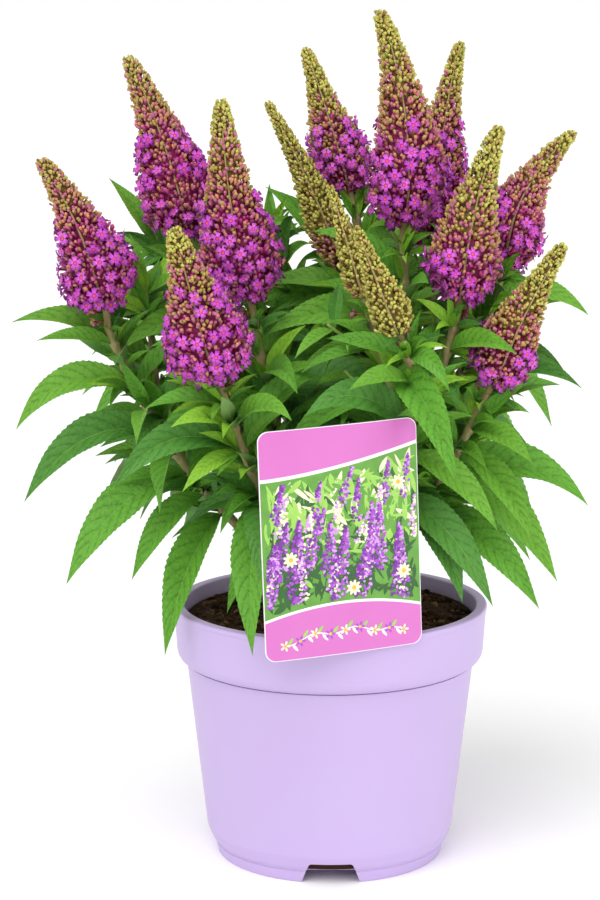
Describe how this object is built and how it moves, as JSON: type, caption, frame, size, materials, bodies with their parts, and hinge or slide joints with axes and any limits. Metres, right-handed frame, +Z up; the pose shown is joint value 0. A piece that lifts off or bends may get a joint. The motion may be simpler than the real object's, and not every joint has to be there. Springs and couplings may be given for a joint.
{
  "type": "butterfly bush in a pot",
  "caption": "Flowering shrub with long tapering purple flower heads over lance-shaped leaves, growing in a round plastic pot with a picture label at its rim.",
  "frame": {"origin": "middle of the pot's underside, on the ground", "axes": "+Z up along the pot's axis, -Y to the front, where the label stands"},
  "size_m": [0.34, 0.2707, 0.5083],
  "materials": {
    "pot": "pale lilac, satin",
    "compost": "dark peat, moist",
    "label": "printed card, pink, semi-gloss",
    "bark": "light brown, felted",
    "foliage": "mid green leaves, violet and plum blossom"
  },
  "bodies": {
    "root": {"pot": "pot", "compost": "compost", "plant_label": "label", "crown": "bark", "stem_left": "bark", "stem_left_back": "bark", "stem_left_middle": "bark", "stem_front_left": "bark", "stem_back": "bark", "stem_centre": "bark", "stem_back_right": "bark", "stem_right_middle": "bark", "stem_right": "bark", "stem_front_right": "bark", "stem_front": "bark", "foliage_left": "foliage", "foliage_left_back": "foliage", "foliage_left_middle": "foliage", "foliage_front_left": "foliage", "foliage_back": "foliage", "foliage_centre": "foliage", "foliage_back_right": "foliage", "foliage_right_middle": "foliage", "foliage_right": "foliage", "foliage_front_right": "foliage", "foliage_front": "foliage"}
  },
  "joints": []
}
